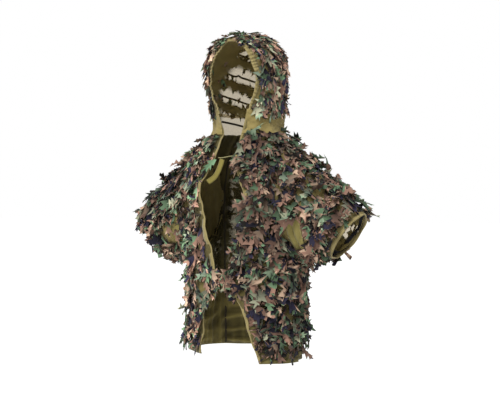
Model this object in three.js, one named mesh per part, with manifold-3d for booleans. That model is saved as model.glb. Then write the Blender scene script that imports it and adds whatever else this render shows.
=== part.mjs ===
// Hooded ghillie jacket: a net jacket with short wide sleeves, open down the front, that carries rows of
// leaf-cut cloth.
// Millimetres, +Z up, the wearer faces -Y and the wearer's left arm is at +X.
// The origin is the middle of the neck seam, where the jacket hangs on the wearer.
import * as THREE from "three";
import { mergeVertices } from "three/addons/utils/BufferGeometryUtils.js";
import Module from "manifold-3d";

const wasm = await Module();
wasm.setup();

// Layers, as offsets from the middle of the net cloth, outwards positive.
const NET = [-1.5, 1.5];
const TAPE = [-3.2, 3.2];
const WEBBING = [2.0, 3.5];
const LEAVES = [4.2, 24];
const CUFF_ELASTIC = [-5.4, -3.6];

// Heights and widths.
const HEM_Z = -755;
const LEAF_TIP_Z = -775;
const TAPE_WIDTH = 14;
const SEAM_GAP = 0.6;
const NECK_LOW_Z = -8;
const NECK_TOP_Z = 50;
const HOOD_LOW_Z = 52;
const HOOD_LEAF_LOW_Z = 62;
const FLAP_TOP_Z = -448;
const FLAP_LEAF_CLEARANCE = 34;
const SIDE_SEAM_Y = -28;
const LAYER_GAP = 2.5;
const STRAP_WIDTH = 8;
const STRAP_DROP = 6;
const STRAP_EDGE_GAP = 8;
const LEAF_OVER_TAPE = 4;
const HOOD_LEAF_OVER_TAPE = 8;
const CROWN_HALF_WIDTH = 40;
const FRONT_MIDDLE_GAP = 1;

// Shape of the sections and how finely they are drawn.
const SECTION_POWER = 2.2;
const RING_POINTS = 26;
const SLEEVE_POINTS = 18;
const CORD_STEPS = 10;
const CORD_ARC_STEPS = 4;

// Steps that a surface's normal is measured over: round it, then along the body, the hood and a sleeve.
const ANGLE_STEP = 0.01;
const BODY_STEP = 1;
const HOOD_STEP = 0.5;
const SLEEVE_STEP = 0.02;

// Cutting solids: their reach, the nearest place to the back that the front opening's cut comes to,
// and how far they run past the sleeve's outline and the underarm.
const FAR = 600;
const FRONT_CUT_Y = -60;
const BAND_REACH = 70;
const UNDERARM_STEP = 30;
const SIDE_DROP = 200;
const WELD = 1e-4;

// Body sections from below the hem to above the neck: height, half width, front and back.
const BODY = [
  [-820, 213, -166, 115],
  [-450, 205, -168, 113],
  [-200, 205, -168, 114],
  [-130, 198, -156, 114],
  [-80, 176, -142, 112],
  [-33, 144, -125, 108],
  [0, 117, -115, 103],
  [70, 117, -123, 111],
];

// Hood sections up to where its dome starts, then the dome's height.
const HOOD = [
  [30, 117, -119, 107],
  [60, 117, -122, 110],
  [145, 119, -150, 112],
  [200, 121, -160, 118],
];
const DOME_HEIGHT = 125;
const DOME_POWER = 2.5;
const DOME_RINGS = [0, 0.4, 0.7, 0.88, 0.985];

// Half widths of the face opening at each height, on the wearer's left and right.
const FACE = [
  [26, 48, 40],
  [76, 66, 60],
  [117, 83, 80],
  [168, 94, 82],
  [202, 88, 64],
  [236, 78, 48],
  [263, 62, 31],
  [280, 44, 17],
  [294, 8, 2],
];

// Sleeve sections: the point on the top line, the point on the bottom line, half depth and middle y.
const SLEEVE = [
  { top: [110, -30], bottom: [120, -400], depth: 98, y: -24 },
  { top: [190, -72], bottom: [195, -412], depth: 98, y: -22 },
  { top: [280, -148], bottom: [250, -420], depth: 92, y: -18 },
  { top: [362, -222], bottom: [292, -424], depth: 82, y: -14 },
  { top: [440, -293], bottom: [332, -428], depth: 72, y: -10 },
  { top: [480, -323], bottom: [372, -458], depth: 70, y: -10 },
];

// Places along a sleeve, in section numbers: its mouth, its tape's length, the gap beside the tape,
// how far its leaves reach, its straps and their half width.
const CUFF = 4;
const CUFF_TAPE_SPAN = 0.15;
const CUFF_GAP = 0.01;
const LEAF_CUFF = 4.12;
const SLEEVE_ROWS = [1.2, 2, 2.8, 3.6];
const SLEEVE_STRAP_HALF = 0.045;
const SLEEVE_LINE_Y = [-24, -16];

// The armhole's line in x and z, and the plain patch in front under the arm.
const SHOULDER = [178, -28];
const UNDERARM = [212, -440];
const PATCH_X = [205, 258];
const PATCH_Y = -48;
const PATCH_Z = [-422, -296];

// Half widths of the front opening at each height, on the wearer's left and right.
const OPENING = [
  [-820, 124, 113],
  [-760, 124, 113],
  [-702, 92, 99],
  [-650, 86, 98],
  [-595, 64, 82],
  [-545, 20, 26],
  [-516, 14, 20],
  [-454, 24, 38],
  [-388, 55, 61],
  [-320, 74, 80],
  [-240, 84, 102],
  [-200, 66, 102],
  [-150, 45, 90],
  [-95, 31, 38],
  [-8, 38, 38],
  [60, 57, 57],
];

// Straps that the leaves are sewn to, by the top edge of each row of leaves.
const LEAF_TOP_Z = -20;
const BODY_ROWS = [-20, -110, -200, -290, -380, -470, -560, -650, -725];
const HOOD_ROWS = [308, 226, 142];

// Upright straps that tie each panel's rows together: on the spine, the fronts and the flaps.
const SPINE_HALF_WIDTH = 4;
const FRONT_UPRIGHT_X = [124, 132];
const FLAP_UPRIGHT_X = [150, 158];

// The tie that holds the throat together, and the tab that hangs from it.
const TIE_DIAMETER = 3.4;
const TIE_ROUTE = [
  [-36.5, -146, -98],
  [-18, -151, -99],
  [4, -153, -96],
  [29.5, -146, -92],
];
const TAB_WIDTH = 20;
const TAB_THICKNESS = 1.6;
const TAB_ROUTE = [
  [-18, -150, -104],
  [-27, -151, -130],
  [-44, -150, -158],
  [-66, -151, -180],
];

const SIDES = [
  { name: "left", s: 1, column: 1 },
  { name: "right", s: -1, column: 2 },
];

const olive = new THREE.MeshStandardMaterial({ color: 0x8c8250, roughness: 0.85, metalness: 0 });
const net = new THREE.MeshStandardMaterial({ color: 0x4d4a30, roughness: 0.95, metalness: 0 });
const webbing = new THREE.MeshStandardMaterial({ color: 0x35322a, roughness: 0.9, metalness: 0 });
const leaf = new THREE.MeshStandardMaterial({ color: 0x5e5b44, roughness: 0.9, metalness: 0 });
const elastic = new THREE.MeshStandardMaterial({ color: 0x17171a, roughness: 0.9, metalness: 0 });
const cord = new THREE.MeshStandardMaterial({ color: 0x9a9160, roughness: 0.9, metalness: 0 });

// A column of a table at a height between two of its rows, which run from low to high.
function lookUp(table, z, column) {
  let i = 1;
  while (i < table.length - 1 && z > table[i][0]) i += 1;
  const [a, b] = [table[i - 1], table[i]];
  return THREE.MathUtils.mapLinear(z, a[0], b[0], a[column], b[column]);
}

function signedPower(value, power) {
  return Math.sign(value) * Math.abs(value) ** power;
}

// A point on a rounded section around the z axis.
function sectionPoint(halfWidth, front, back, angle, z) {
  const c = signedPower(Math.cos(angle), 2 / SECTION_POWER);
  const s = signedPower(Math.sin(angle), 2 / SECTION_POWER);
  return new THREE.Vector3(halfWidth * c, (front + back) / 2 + ((back - front) / 2) * s, z);
}

function bodyPoint(angle, z) {
  const [a, front, back] = [1, 2, 3].map((column) => lookUp(BODY, z, column));
  return sectionPoint(a, front, back, angle, z);
}

function hoodPoint(angle, z) {
  const start = HOOD[HOOD.length - 1];
  const rise = (z - start[0]) / DOME_HEIGHT;
  if (rise <= 0) {
    const [a, front, back] = [1, 2, 3].map((column) => lookUp(HOOD, z, column));
    return sectionPoint(a, front, back, angle, z);
  }
  const scale = (1 - Math.min(rise, 1) ** DOME_POWER) ** (1 / DOME_POWER);
  const middle = (start[2] + start[3]) / 2;
  const p = sectionPoint(start[1] * scale, start[2] - middle, start[3] - middle, angle, z);
  p.set(p.x, middle + p.y * scale, z);
  return p;
}

// The sleeve's section number t, where whole numbers are the rows of SLEEVE.
function sleeveSection(t) {
  const i = Math.min(Math.max(Math.floor(t), 0), SLEEVE.length - 2);
  const [a, b] = [SLEEVE[i], SLEEVE[i + 1]];
  const mix = (p, q) => p + (q - p) * (t - i);
  return {
    top: [mix(a.top[0], b.top[0]), mix(a.top[1], b.top[1])],
    bottom: [mix(a.bottom[0], b.bottom[0]), mix(a.bottom[1], b.bottom[1])],
    depth: mix(a.depth, b.depth),
    y: mix(a.y, b.y),
  };
}

function sleevePoint(angle, t) {
  const { top, bottom, depth, y } = sleeveSection(t);
  const up = Math.cos(angle) / 2;
  return new THREE.Vector3(
    (top[0] + bottom[0]) / 2 + up * (top[0] - bottom[0]),
    y + depth * Math.sin(angle),
    (top[1] + bottom[1]) / 2 + up * (top[1] - bottom[1]),
  );
}

// A point of a surface moved along the surface's own normal.
function offsetPoint(surface, angle, v, step, offset) {
  const around = surface(angle + ANGLE_STEP, v).sub(surface(angle - ANGLE_STEP, v));
  const along = surface(angle, v + step).sub(surface(angle, v - step));
  const normal = around.cross(along).normalize();
  return surface(angle, v).addScaledVector(normal, offset);
}

// Joins rings of points into one closed solid, with a fan over each end.
function loft(rings) {
  const n = rings[0].length;
  const points = rings.flat();
  const faces = [];
  for (let r = 0; r < rings.length - 1; r += 1)
    for (let i = 0; i < n; i += 1) {
      const a = r * n + i;
      const b = r * n + ((i + 1) % n);
      faces.push(a, b, a + n, b, b + n, a + n);
    }
  for (const end of [0, rings.length - 1]) {
    const middle = points.length;
    points.push(rings[end].reduce((sum, p) => sum.add(p), new THREE.Vector3()).divideScalar(n));
    for (let i = 0; i < n; i += 1) {
      const [a, b] = [end * n + i, end * n + ((i + 1) % n)];
      faces.push(...(end ? [a, b, middle] : [b, a, middle]));
    }
  }
  const geometry = new THREE.BufferGeometry().setFromPoints(points);
  geometry.setIndex(faces);
  return geometry;
}

function toSolid(geometry) {
  const bare = geometry.clone();
  bare.deleteAttribute("normal");
  bare.deleteAttribute("uv");
  const merged = mergeVertices(bare, WELD);
  const mesh = new wasm.Mesh({
    numProp: 3,
    vertProperties: new Float32Array(merged.attributes.position.array),
    triVerts: new Uint32Array(merged.index.array),
  });
  return new wasm.Manifold(mesh);
}

function toMesh(name, solid, material) {
  const { vertProperties, triVerts } = solid.getMesh();
  const geometry = new THREE.BufferGeometry();
  geometry.setAttribute("position", new THREE.BufferAttribute(new Float32Array(vertProperties), 3));
  geometry.setIndex(new THREE.BufferAttribute(new Uint32Array(triVerts), 1));
  geometry.computeVertexNormals();
  const mesh = new THREE.Mesh(geometry, material);
  mesh.name = name;
  return mesh;
}

function join(solids) {
  return solids.reduce((all, solid) => all.add(solid));
}

// The full volume inside a surface that has been moved out by an offset.
function surfaceVolume(surface, levels, step, offset, count = RING_POINTS) {
  const rings = levels.map((v) =>
    Array.from({ length: count }, (_, i) =>
      offsetPoint(surface, (i / count) * 2 * Math.PI, v, step, offset),
    ),
  );
  return toSolid(loft(rings));
}

function bodyVolume(offset) {
  return surfaceVolume(bodyPoint, BODY.map((row) => row[0]), BODY_STEP, offset);
}

function hoodVolume(offset) {
  const start = HOOD.at(-1)[0];
  const straight = HOOD.slice(0, -1).map((row) => row[0]);
  const dome = DOME_RINGS.map((rise) => start + rise * DOME_HEIGHT);
  return surfaceVolume(hoodPoint, [...straight, ...dome], HOOD_STEP, offset);
}

function sleeveVolume(side, offset) {
  const surface = (angle, t) => {
    const p = sleevePoint(-side.s * angle, t);
    p.x *= side.s;
    return p;
  };
  return surfaceVolume(surface, [...SLEEVE.keys()], SLEEVE_STEP, offset, SLEEVE_POINTS);
}

// A prism along Y over an outline given as [x, z] points.
function prism(outline, yLow, yHigh) {
  const shape = new THREE.Shape(outline.map(([x, z]) => new THREE.Vector2(x, z)));
  const geometry = new THREE.ExtrudeGeometry(shape, { depth: yHigh - yLow, bevelEnabled: false });
  geometry.rotateX(Math.PI / 2);
  geometry.translate(0, yHigh, 0);
  return toSolid(geometry);
}

function box(low, high) {
  const size = high.map((v, i) => v - low[i]);
  const geometry = new THREE.BoxGeometry(...size);
  geometry.translate(...high.map((v, i) => (v + low[i]) / 2));
  return toSolid(geometry);
}

function slab(zLow, zHigh) {
  return box([-FAR, -FAR, zLow], [FAR, FAR, zHigh]);
}

// A box given on the wearer's left and mirrored for the right.
function sideBox(side, x, y, z) {
  const [xLow, xHigh] = x.map((v) => side.s * v).sort((a, b) => a - b);
  return box([xLow, y[0], z[0]], [xHigh, y[1], z[1]]);
}

function mirrored(outline, s) {
  return outline.map(([x, z]) => [s * x, z]);
}

// The gap between the two fronts, widened on each side by a margin.
function frontOpening(margin) {
  const edge = (side) => OPENING.map((row) => [side.s * (row[side.column] + margin), row[0]]);
  const [left, right] = SIDES;
  return prism([...edge(left), ...edge(right).reverse()], -FAR, FRONT_CUT_Y);
}

// Everything outboard of the armhole, grown towards the body by a margin.
function armSide(side, margin) {
  const outline = [
    [SHOULDER[0] - margin, FAR],
    [SHOULDER[0] - margin, SHOULDER[1]],
    [UNDERARM[0] - margin, UNDERARM[1] - margin],
    [UNDERARM[0] + UNDERARM_STEP, UNDERARM[1] - margin],
    [FAR, UNDERARM[1] - SIDE_DROP],
    [FAR, FAR],
  ];
  return prism(mirrored(outline, side.s), -FAR, FAR);
}

// A stretch of the sleeve between two of its sections.
function sleeveBand(side, from, to) {
  const ends = [from, to].map((t) => {
    const { top, bottom } = sleeveSection(t);
    const run = new THREE.Vector2(top[0] - bottom[0], top[1] - bottom[1]).setLength(BAND_REACH);
    return [
      [top[0] + run.x, top[1] + run.y],
      [bottom[0] - run.x, bottom[1] - run.y],
    ];
  });
  return prism(mirrored([ends[0][0], ends[1][0], ends[1][1], ends[0][1]], side.s), -FAR, FAR);
}

// The face opening as a cut through the hood's front, grown on all sides by a margin.
function faceOpening(margin) {
  const edge = (side) => FACE.map((row) => new THREE.Vector2(side.s * row[side.column], row[0]));
  const [left, right] = SIDES;
  const line = [...edge(left), ...edge(right).reverse()];
  const outline = line.map((p, i) => {
    const ahead = line[Math.min(i + 1, line.length - 1)];
    const along = ahead.clone().sub(line[Math.max(i - 1, 0)]).normalize();
    return [p.x + along.y * margin, p.y - along.x * margin];
  });
  return prism(outline, -FAR, 0);
}

// The layer between two offsets over the body and both sleeves.
function jacketLayer([low, high]) {
  const volume = (offset) =>
    join([bodyVolume(offset), ...SIDES.map((side) => sleeveVolume(side, offset))]);
  return volume(high).subtract(volume(low));
}

function hoodLayer([low, high]) {
  return hoodVolume(high).subtract(hoodVolume(low));
}

// The horizontal straps under a list of row tops.
function strapBands(tops) {
  return join(tops.map((top) => slab(top - STRAP_DROP - STRAP_WIDTH, top - STRAP_DROP)));
}

// The heights between which a list of rows has straps.
function strapSpan(tops) {
  return [tops.at(-1) - STRAP_DROP - STRAP_WIDTH, tops[0] - STRAP_DROP];
}

// The straps of a list of rows on the back, tied together by one down the spine.
function strapsWithSpine(tops) {
  const [low, high] = strapSpan(tops);
  const spine = box([-SPINE_HALF_WIDTH, 0, low], [SPINE_HALF_WIDTH, FAR, high]);
  return strapBands(tops).add(spine);
}

// The straps of a list of rows on one front, tied together by an upright one.
function frontStraps(side, tops, uprightX) {
  const upright = sideBox(side, uprightX, [-FAR, SIDE_SEAM_Y], strapSpan(tops));
  return strapBands(tops).add(upright).subtract(frontOpening(TAPE_WIDTH + STRAP_EDGE_GAP));
}

const group = new THREE.Group();

function add(name, solid, material) {
  group.add(toMesh(name, solid, material));
}

const layers = {
  net: jacketLayer(NET),
  tape: jacketLayer(TAPE),
  webbing: jacketLayer(WEBBING),
  leaves: jacketLayer(LEAVES),
};
const armSides = join(SIDES.map((side) => armSide(side, SEAM_GAP)));
const backHalf = box([-FAR, SIDE_SEAM_Y + SEAM_GAP, -2 * FAR], [FAR, FAR, FAR]);

function frontHalf(side, clearance = 0) {
  const y = [-FAR, SIDE_SEAM_Y - clearance];
  return sideBox(side, [FRONT_MIDDLE_GAP, FAR], y, [-2 * FAR, FAR]);
}

// The back, from the neck seam to the hem. Its straps meet in a vertical one along the spine.
function addBack() {
  const body = (layer) => layer.subtract(armSides).intersect(backHalf);
  const tape = body(layers.tape).intersect(slab(HEM_Z, HEM_Z + TAPE_WIDTH - SEAM_GAP));
  add("back_panel", body(layers.net).intersect(slab(HEM_Z + TAPE_WIDTH, NECK_LOW_Z)), net);
  add("back_webbing", body(layers.webbing).intersect(strapsWithSpine(BODY_ROWS)), webbing);
  add("back_leaf_rows", body(layers.leaves).intersect(slab(LEAF_TIP_Z, LEAF_TOP_Z)), leaf);
  add("back_hem_tape", tape, olive);
}

// One front above the waist, fixed to the back at the side seam.
function addFront(side) {
  const body = (layer) => layer.subtract(armSides).intersect(frontHalf(side));
  const whole = slab(FLAP_TOP_Z + SEAM_GAP, NECK_LOW_Z);
  const tape = body(layers.tape).intersect(frontOpening(TAPE_WIDTH)).subtract(frontOpening(0));
  const cloth = body(layers.net).subtract(frontOpening(TAPE_WIDTH + SEAM_GAP));
  const leaves = body(layers.leaves).subtract(frontOpening(TAPE_WIDTH - LEAF_OVER_TAPE));
  const rows = BODY_ROWS.filter((top) => top > FLAP_TOP_Z);
  const straps = body(layers.webbing).intersect(frontStraps(side, rows, FRONT_UPRIGHT_X));
  add(`${side.name}_front_panel`, cloth.intersect(whole), net);
  add(`${side.name}_front_tape`, tape.intersect(whole), olive);
  add(`${side.name}_front_webbing`, straps, webbing);
  add(
    `${side.name}_front_leaf_rows`,
    leaves.intersect(slab(FLAP_TOP_Z + LAYER_GAP, LEAF_TOP_Z)),
    leaf,
  );
}

// One front below the waist, which swings open about the side seam.
function addFlap(side) {
  const half = frontHalf(side, SEAM_GAP);
  const whole = slab(HEM_Z + TAPE_WIDTH, FLAP_TOP_Z - SEAM_GAP);
  const body = (layer) => layer.subtract(armSides);
  const cloth = body(layers.net).intersect(half).subtract(frontOpening(TAPE_WIDTH + SEAM_GAP));
  const edge = frontOpening(TAPE_WIDTH).intersect(slab(HEM_Z, FLAP_TOP_Z - SEAM_GAP));
  const hem = slab(HEM_Z, HEM_Z + TAPE_WIDTH - SEAM_GAP);
  const tape = layers.tape.intersect(half).intersect(edge.add(hem)).subtract(frontOpening(0));
  const leaves = body(layers.leaves).intersect(frontHalf(side, FLAP_LEAF_CLEARANCE));
  const leafEdge = frontOpening(TAPE_WIDTH - LEAF_OVER_TAPE);
  const leafArea = slab(LEAF_TIP_Z, FLAP_TOP_Z - LAYER_GAP).subtract(leafEdge);
  const rows = BODY_ROWS.filter((top) => top < FLAP_TOP_Z);
  const strapArea = frontStraps(side, rows, FLAP_UPRIGHT_X);
  const straps = body(layers.webbing).intersect(frontHalf(side, FLAP_LEAF_CLEARANCE));
  add(`${side.name}_flap_panel`, cloth.intersect(whole), net);
  add(`${side.name}_flap_tape`, tape, olive);
  add(`${side.name}_flap_webbing`, straps.intersect(strapArea), webbing);
  add(`${side.name}_flap_leaf_rows`, leaves.intersect(leafArea), leaf);
}

// One sleeve, from the armhole to the taped cuff, with a plain patch in front under the arm.
function addSleeve(side) {
  const arm = armSide(side, 0);
  const tapeFrom = CUFF - CUFF_TAPE_SPAN;
  const patch = sideBox(side, PATCH_X, [-FAR, PATCH_Y], PATCH_Z);
  const clear = sideBox(
    side,
    [0, PATCH_X[1] + LAYER_GAP],
    [-FAR, PATCH_Y + LAYER_GAP],
    [PATCH_Z[0] - LAYER_GAP, PATCH_Z[1] + LAYER_GAP],
  );
  const cloth = layers.net.intersect(arm).intersect(sleeveBand(side, 0, tapeFrom));
  const tape = layers.tape.intersect(arm).intersect(sleeveBand(side, tapeFrom + CUFF_GAP, CUFF));
  const inner = sleeveVolume(side, CUFF_ELASTIC[1]).subtract(sleeveVolume(side, CUFF_ELASTIC[0]));
  const band = sleeveBand(side, tapeFrom - CUFF_TAPE_SPAN, tapeFrom - CUFF_GAP);
  const leaves = layers.leaves.intersect(arm).intersect(sleeveBand(side, 0, LEAF_CUFF));
  const rings = join(
    SLEEVE_ROWS.map((t) => sleeveBand(side, t - SLEEVE_STRAP_HALF, t + SLEEVE_STRAP_HALF)),
  );
  const line = box([-FAR, SLEEVE_LINE_Y[0], -FAR], [FAR, SLEEVE_LINE_Y[1], FAR]);
  const tied = rings.add(line.intersect(sleeveBand(side, SLEEVE_ROWS[0], SLEEVE_ROWS.at(-1))));
  const straps = layers.webbing.intersect(arm).intersect(tied).subtract(clear);
  add(`${side.name}_sleeve_panel`, cloth, net);
  add(`${side.name}_cuff_tape`, tape, olive);
  add(`${side.name}_cuff_elastic`, inner.intersect(band), elastic);
  add(`${side.name}_sleeve_webbing`, straps, webbing);
  add(`${side.name}_sleeve_leaf_rows`, leaves.subtract(clear), leaf);
  add(`${side.name}_underarm_patch`, layers.webbing.intersect(arm).intersect(patch), olive);
}

// The hood: two sides and a crown strip, taped round the face, with its straps joined at the back.
function addHood() {
  const shell = (layer, margin) => hoodLayer(layer).subtract(faceOpening(margin));
  const cloth = shell(NET, TAPE_WIDTH + SEAM_GAP).intersect(slab(HOOD_LOW_Z, FAR));
  const crown = box([-CROWN_HALF_WIDTH, -FAR, 0], [CROWN_HALF_WIDTH, FAR, FAR]);
  add("hood_crown", cloth.intersect(crown), net);
  for (const side of SIDES) {
    const half = sideBox(side, [CROWN_HALF_WIDTH + SEAM_GAP, FAR], [-FAR, FAR], [0, FAR]);
    add(`hood_${side.name}_side`, cloth.intersect(half), net);
  }
  const tape = hoodLayer(TAPE).intersect(faceOpening(TAPE_WIDTH)).subtract(faceOpening(0));
  add("hood_face_tape", tape.intersect(slab(HOOD_LOW_Z, FAR)), olive);
  const straps = shell(WEBBING, TAPE_WIDTH + STRAP_EDGE_GAP).intersect(strapsWithSpine(HOOD_ROWS));
  const leaves = shell(LEAVES, TAPE_WIDTH - HOOD_LEAF_OVER_TAPE);
  add("hood_webbing", straps, webbing);
  add("hood_leaf_rows", leaves.intersect(slab(HOOD_LEAF_LOW_Z, FAR)), leaf);
}

// The plain band between the hood and the body.
function addNeckBand() {
  const band = bodyVolume(NET[1]).subtract(bodyVolume(NET[0]));
  const height = slab(NECK_LOW_Z + SEAM_GAP, NECK_TOP_Z);
  add("neck_band", band.subtract(frontOpening(0)).intersect(height), olive);
}

// A section carried along a smooth path.
function swept(name, route, section, material, curveSegments) {
  const path = new THREE.CatmullRomCurve3(route.map((p) => new THREE.Vector3(...p)));
  const geometry = new THREE.ExtrudeGeometry(section, {
    steps: CORD_STEPS,
    extrudePath: path,
    curveSegments,
    bevelEnabled: false,
  });
  const mesh = new THREE.Mesh(geometry, material);
  mesh.name = name;
  group.add(mesh);
}

// The cord tied across the throat, and the flat tab that hangs from it.
function addThroatTie() {
  const round = new THREE.Shape().absarc(0, 0, TIE_DIAMETER / 2, 0, 2 * Math.PI);
  const [half, thick] = [TAB_WIDTH / 2, TAB_THICKNESS / 2];
  const corners = [
    [-thick, -half],
    [thick, -half],
    [thick, half],
    [-thick, half],
  ];
  const flat = new THREE.Shape(corners.map((c) => new THREE.Vector2(...c)));
  swept("throat_tie_cord", TIE_ROUTE, round, cord, CORD_ARC_STEPS);
  swept("throat_tab", TAB_ROUTE, flat, olive, 1);
}

addBack();
for (const side of SIDES) {
  addFront(side);
  addFlap(side);
  addSleeve(side);
}
addHood();
addNeckBand();
addThroatTie();

export default group;
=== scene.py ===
"""Looks of the hooded leaf-cut ghillie jacket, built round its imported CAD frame. Metres, +Z up, front towards -Y."""
import math

import bmesh
import bpy
import numpy as np
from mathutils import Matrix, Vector
from mathutils.bvhtree import BVHTree


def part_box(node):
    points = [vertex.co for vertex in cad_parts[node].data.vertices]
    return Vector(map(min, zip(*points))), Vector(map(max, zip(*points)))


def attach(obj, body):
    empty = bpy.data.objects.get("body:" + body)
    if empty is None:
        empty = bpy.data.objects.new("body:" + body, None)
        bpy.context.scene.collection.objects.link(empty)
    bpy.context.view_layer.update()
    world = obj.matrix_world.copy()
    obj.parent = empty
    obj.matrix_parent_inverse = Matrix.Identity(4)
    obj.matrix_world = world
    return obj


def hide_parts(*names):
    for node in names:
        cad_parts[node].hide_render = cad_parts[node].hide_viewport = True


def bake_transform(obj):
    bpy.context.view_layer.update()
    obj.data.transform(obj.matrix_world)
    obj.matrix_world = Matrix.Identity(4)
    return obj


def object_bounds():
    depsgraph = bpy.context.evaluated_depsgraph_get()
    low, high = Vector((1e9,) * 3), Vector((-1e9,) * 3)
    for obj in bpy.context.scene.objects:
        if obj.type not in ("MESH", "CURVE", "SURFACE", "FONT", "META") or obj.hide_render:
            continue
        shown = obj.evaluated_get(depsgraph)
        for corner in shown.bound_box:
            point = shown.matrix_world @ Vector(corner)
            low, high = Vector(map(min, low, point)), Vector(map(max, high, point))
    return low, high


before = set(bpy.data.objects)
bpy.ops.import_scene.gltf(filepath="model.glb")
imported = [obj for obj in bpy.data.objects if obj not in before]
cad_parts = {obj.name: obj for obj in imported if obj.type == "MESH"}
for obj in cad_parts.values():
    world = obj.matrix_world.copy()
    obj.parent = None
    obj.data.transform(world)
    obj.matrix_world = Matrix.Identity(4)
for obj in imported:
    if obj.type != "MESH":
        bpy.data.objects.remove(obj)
cad_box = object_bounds()

MM = 0.001
SIDES = {"left": 1, "right": -1}
UP, DOWN = (0.0, 0.0, 1.0), (0.0, 0.0, -1.0)

# Sections of the cloth from below the hem to above the neck: height, half width, front and back.
BODY = MM * np.array([
    [-820, 213, -166, 115], [-450, 205, -168, 113], [-200, 205, -168, 114], [-130, 198, -156, 114],
    [-80, 176, -142, 112], [-33, 144, -125, 108], [0, 117, -115, 103], [70, 117, -123, 111]])
# Sections of the hood up to its dome, and the dome's height.
HOOD = MM * np.array([[30, 117, -119, 107], [60, 117, -122, 110], [145, 119, -150, 112], [200, 121, -160, 118]])
DOME_HEIGHT = 125 * MM
DOME_POWER = 2.5
SECTION_POWER = 2.2
# Sleeve sections: top x and z, bottom x and z, half depth, middle y.
SLEEVE = MM * np.array([
    [110, -30, 120, -400, 98, -24], [190, -72, 195, -412, 98, -22], [280, -148, 250, -420, 92, -18],
    [362, -222, 292, -424, 82, -14], [440, -293, 332, -428, 72, -10], [480, -323, 372, -458, 70, -10]])
CUFF = 4.0
# Half widths of the front opening by height, on the wearer's left and right.
OPENING = MM * np.array([
    [-820, 124, 113], [-760, 124, 113], [-702, 92, 99], [-650, 86, 98], [-595, 64, 82], [-545, 20, 26],
    [-516, 14, 20], [-454, 24, 38], [-388, 55, 61], [-320, 74, 80], [-240, 84, 102], [-200, 66, 102],
    [-150, 45, 90], [-95, 31, 38], [-8, 38, 38], [60, 57, 57]])
# Half widths of the face opening by height, on the wearer's left and right.
FACE = MM * np.array([
    [26, 48, 40], [76, 66, 60], [117, 83, 80], [168, 94, 82], [202, 88, 64], [236, 78, 48], [263, 62, 31],
    [280, 44, 17], [294, 8, 2]])
HEM_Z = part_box("back_hem_tape")[0].z
NECK_LOW_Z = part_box("neck_band")[0].z
NECK_TOP_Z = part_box("neck_band")[1].z
HOOD_LOW_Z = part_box("hood_left_side")[0].z
FRONT_HEM_Z = {"left": HEM_Z - 20 * MM, "right": HEM_Z - 4 * MM}
HEM_TURN = 4 * MM
TAPE_WIDTH = 14 * MM
STRAP_WIDTH = 7 * MM
TAB_WIDTH = 19 * MM
CLOTH_THICKNESS = 0.5 * MM
# How far straps and leaves are sewn above the cloth.
STRAP_LIFT = 2.5 * MM
LEAF_LIFT = 4 * MM
HOOD_LEAF_LIFT = 0.0035
# How far the cloth lets light straight through: the fronts, and a sleeve in its light places and elsewhere.
FRONT_CLEAR = 0.06
SLEEVE_CLEAR = (0.74, 0.05)
# Heights of the straps, and of the hood's rows of leaves. The hood's sewn rows drop to the wearer's left and rear.
BODY_ROWS = MM * np.array([-26, -112, -200, -290, -380, -470, -560, -650, -735])
HOOD_STRAPS = [0.092, 0.180, 0.256]
HOOD_REAR_ROWS = [0.246, 0.158, 0.072]
HOOD_SIDE_ROWS = [0.286, 0.270, 0.254, 0.240, 0.206, 0.192, 0.178, 0.164, 0.118, 0.104, 0.090, 0.078]
CROWN_ROWS = [0.272, 0.290, 0.303, 0.312, 0.318, 0.3225]
CROWN_Z = 0.262
HOOD_TILT = 0.32
HOOD_LEAN = 0.10
REAR_EDGE = 0.1
# The height below which the body's rows are further apart, and where the seams of the back lie.
SHOULDER_Z = -0.12
BACK_SEAM_X = 0.118
FLOOR_HALF = 40.0

# Pieces that pass from one body to the next: the two bodies, and the places where the passing starts and ends.
PASSING = {"neck": ("jacket", "hood", (0, 0, -0.01), (0, 0, 0.06))}
for side_name, side_sign in SIDES.items():
    PASSING[f"{side_name}_front"] = ("jacket", f"{side_name}_flap", (0, 0, -0.30), (0, 0, -0.50))
    PASSING[f"{side_name}_arm"] = (
        "jacket", f"{side_name}_sleeve", (side_sign * 0.17, 0, 0), (side_sign * 0.33, 0, 0))


def place(obj, body, slot, *replaced):
    """Put a piece on a body, or between two, and hide the CAD nodes that it replaces. Its slot is not used."""
    if body in PASSING:
        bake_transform(obj)
    else:
        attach(obj, body)
    if replaced:
        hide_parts(*replaced)


# ---------------------------------------------------------------- surfaces

def smooth_interp(table, z, column, reach=0.016):
    """A column of a table at z, rounded where its straight stretches meet."""
    z = np.asarray(z, float)
    shifts = (-1.0, -0.5, 0.0, 0.5, 1.0)
    return sum(np.interp(z + s * reach, table[:, 0], table[:, column]) for s in shifts) / len(shifts)


def waves(u, v, seed, count=7, low=2.0, high=9.0):
    """A smooth random field between about -1 and 1 over angles u and lengths v, the same on each run."""
    rng = np.random.default_rng(seed)
    total = 0.0
    for _ in range(count):
        k = rng.integers(int(low), int(high))
        l = rng.uniform(-high, high)
        total = total + rng.uniform(0.5, 1.0) * np.sin(k * u + l * v + rng.uniform(0, 2 * np.pi))
    return total / math.sqrt(count)


def signed_power(x, power):
    return np.sign(x) * np.abs(x) ** power


def unit(vectors, least=1e-12):
    """Vectors brought to length 1."""
    return vectors / np.maximum(np.linalg.norm(vectors, axis=-1, keepdims=True), least)


def run_length(path):
    """How far along a line each of its points lies."""
    return np.concatenate([[0], np.cumsum(np.linalg.norm(np.diff(path, axis=0), axis=1))])


def spans(start, end, count):
    """Evenly spaced angles in rows, each row from its own start to its own end."""
    return start[:, None] + (end - start)[:, None] * np.linspace(0, 1, count)[None, :]


def line_on(surface, start, end, count, v):
    """Points and normals of a line round a surface."""
    return surface(np.linspace(start, end, count), np.full(count, float(v)))


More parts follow.
